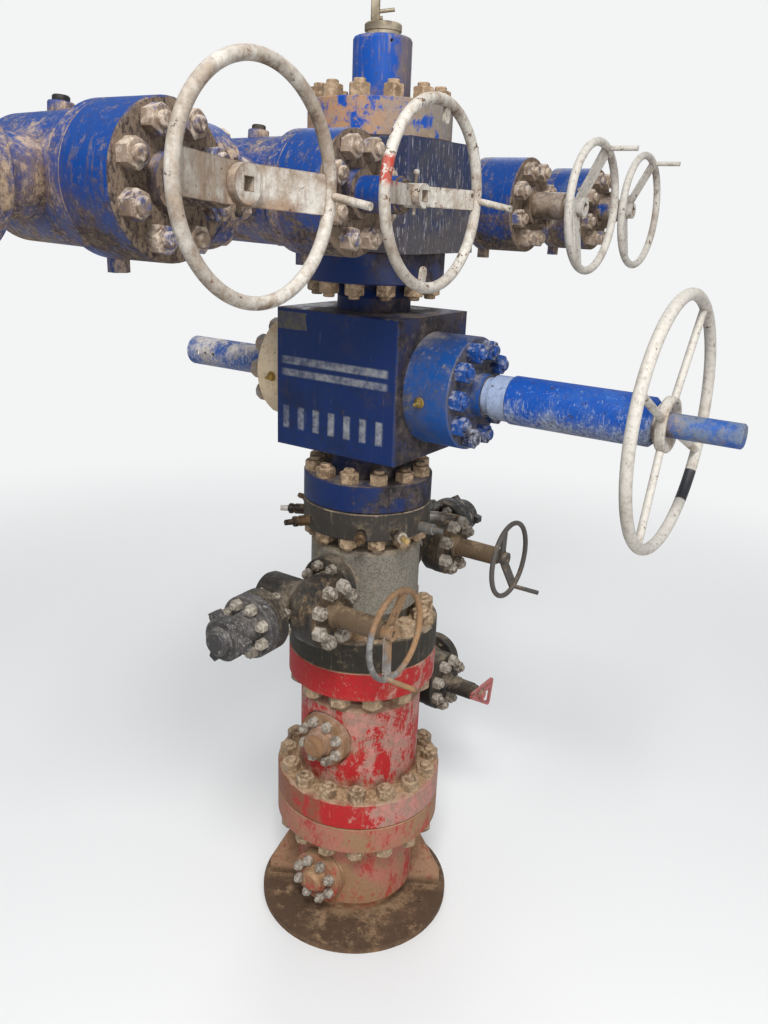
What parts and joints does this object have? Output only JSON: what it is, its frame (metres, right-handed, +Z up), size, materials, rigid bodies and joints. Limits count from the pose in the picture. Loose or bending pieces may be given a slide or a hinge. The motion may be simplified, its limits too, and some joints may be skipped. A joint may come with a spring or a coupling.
{
  "type": "oil wellhead valve stack",
  "caption": "Free-standing flanged wellhead stack: casing head, spool, tubing head, master gate valve, cross with wing gate valves and handwheels that turn.",
  "frame": {"origin": "centre of the base plate's underside, on the well's axis", "axes": "+Z up the well, +X the way the handwheels face, +Y along the wing valves towards the drawn-in wheel"},
  "size_m": [2.174, 3.12, 3.532],
  "materials": {
    "blue_paint": "worn royal blue paint with dried mud",
    "red_paint": "red paint faded to pink, tan dust on top",
    "faded_red": "faded red paint",
    "grey_paint": "weathered grey paint, speckled",
    "white_paint": "white paint with chips and rust",
    "muddy_white": "dirty white paint under dried mud",
    "dark_iron": "near black iron with mud",
    "rusty_steel": "rusty steel",
    "stud_steel": "dusty plated studs and nuts",
    "bare_steel": "dull bare steel"
  },
  "bodies": {
    "stack": {"base_plate": "rusty_steel", "casing_head": "red_paint", "casing_head_flanges": "red_paint", "casing_joint_studs": "stud_steel", "casing_spool": "red_paint", "spool_front_flange": "red_paint", "spool_valve_body": "dark_iron", "spool_valve_bonnet": "dark_iron", "spool_joint_studs": "stud_steel", "tubing_head": "grey_paint", "lockdown_screws": "stud_steel", "front_valve_body": "dark_iron", "front_valve_bonnet": "dark_iron", "front_valve_end": "dark_iron", "back_valve_body": "dark_iron", "back_valve_bonnet": "dark_iron", "back_valve_end": "dark_iron", "outlet_studs": "stud_steel", "tubing_joint_studs": "stud_steel", "master_valve_body": "blue_paint", "master_bonnet": "blue_paint", "master_stem_housing": "blue_paint", "master_back_bonnet": "muddy_white", "master_tail_tube": "blue_paint", "master_bonnet_studs": "stud_steel", "cross_joint_studs": "stud_steel", "cross_block": "blue_paint", "top_flange_cap": "blue_paint", "top_flange_studs": "stud_steel", "needle_valve": "bare_steel", "left_outer_body": "blue_paint", "left_inner_body": "blue_paint", "right_inner_body": "blue_paint", "right_outer_body": "blue_paint", "wing_bonnets": "blue_paint", "wing_studs": "stud_steel"},
    "left_outer_wheel_turning": {"left_outer_wheel": "white_paint"},
    "left_inner_wheel_turning": {"left_inner_wheel": "white_paint"},
    "right_inner_wheel_turning": {"right_inner_wheel": "white_paint"},
    "right_outer_wheel_turning": {"right_outer_wheel": "white_paint"},
    "master_wheel_turning": {"master_wheel": "white_paint"},
    "front_valve_wheel_turning": {"front_valve_wheel": "rusty_steel"},
    "back_valve_wheel_turning": {"back_valve_wheel": "bare_steel"},
    "spool_valve_wheel_turning": {"spool_valve_wheel": "faded_red"}
  },
  "joints": [
    {"name": "left_outer_wheel_spin", "type": "hinge", "parent": "stack", "child": "left_outer_wheel_turning", "pos_m": [0.552, -1.225, 2.8735], "axis": [1, 0, 0], "continuous": true},
    {"name": "left_inner_wheel_spin", "type": "hinge", "parent": "stack", "child": "left_inner_wheel_turning", "pos_m": [0.552, -0.555, 2.8735], "axis": [1, 0, 0], "continuous": true},
    {"name": "right_inner_wheel_spin", "type": "hinge", "parent": "stack", "child": "right_inner_wheel_turning", "pos_m": [0.552, 0.555, 2.8735], "axis": [1, 0, 0], "continuous": true},
    {"name": "right_outer_wheel_spin", "type": "hinge", "parent": "stack", "child": "right_outer_wheel_turning", "pos_m": [0.502, 1.225, 2.8735], "axis": [1, 0, 0], "continuous": true},
    {"name": "master_wheel_spin", "type": "hinge", "parent": "stack", "child": "master_wheel_turning", "pos_m": [1.086, 0, 2.2625], "axis": [1, 0, 0], "continuous": true},
    {"name": "front_valve_wheel_spin", "type": "hinge", "parent": "stack", "child": "front_valve_wheel_turning", "pos_m": [0.415, -0.42, 1.525], "axis": [1, 0, 0], "continuous": true},
    {"name": "back_valve_wheel_spin", "type": "hinge", "parent": "stack", "child": "back_valve_wheel_turning", "pos_m": [0.415, 0.42, 1.525], "axis": [1, 0, 0], "continuous": true},
    {"name": "spool_valve_wheel_spin", "type": "hinge", "parent": "stack", "child": "spool_valve_wheel_turning", "pos_m": [0.33, 0.429, 0.873], "axis": [1, 0, 0], "continuous": true}
  ]
}
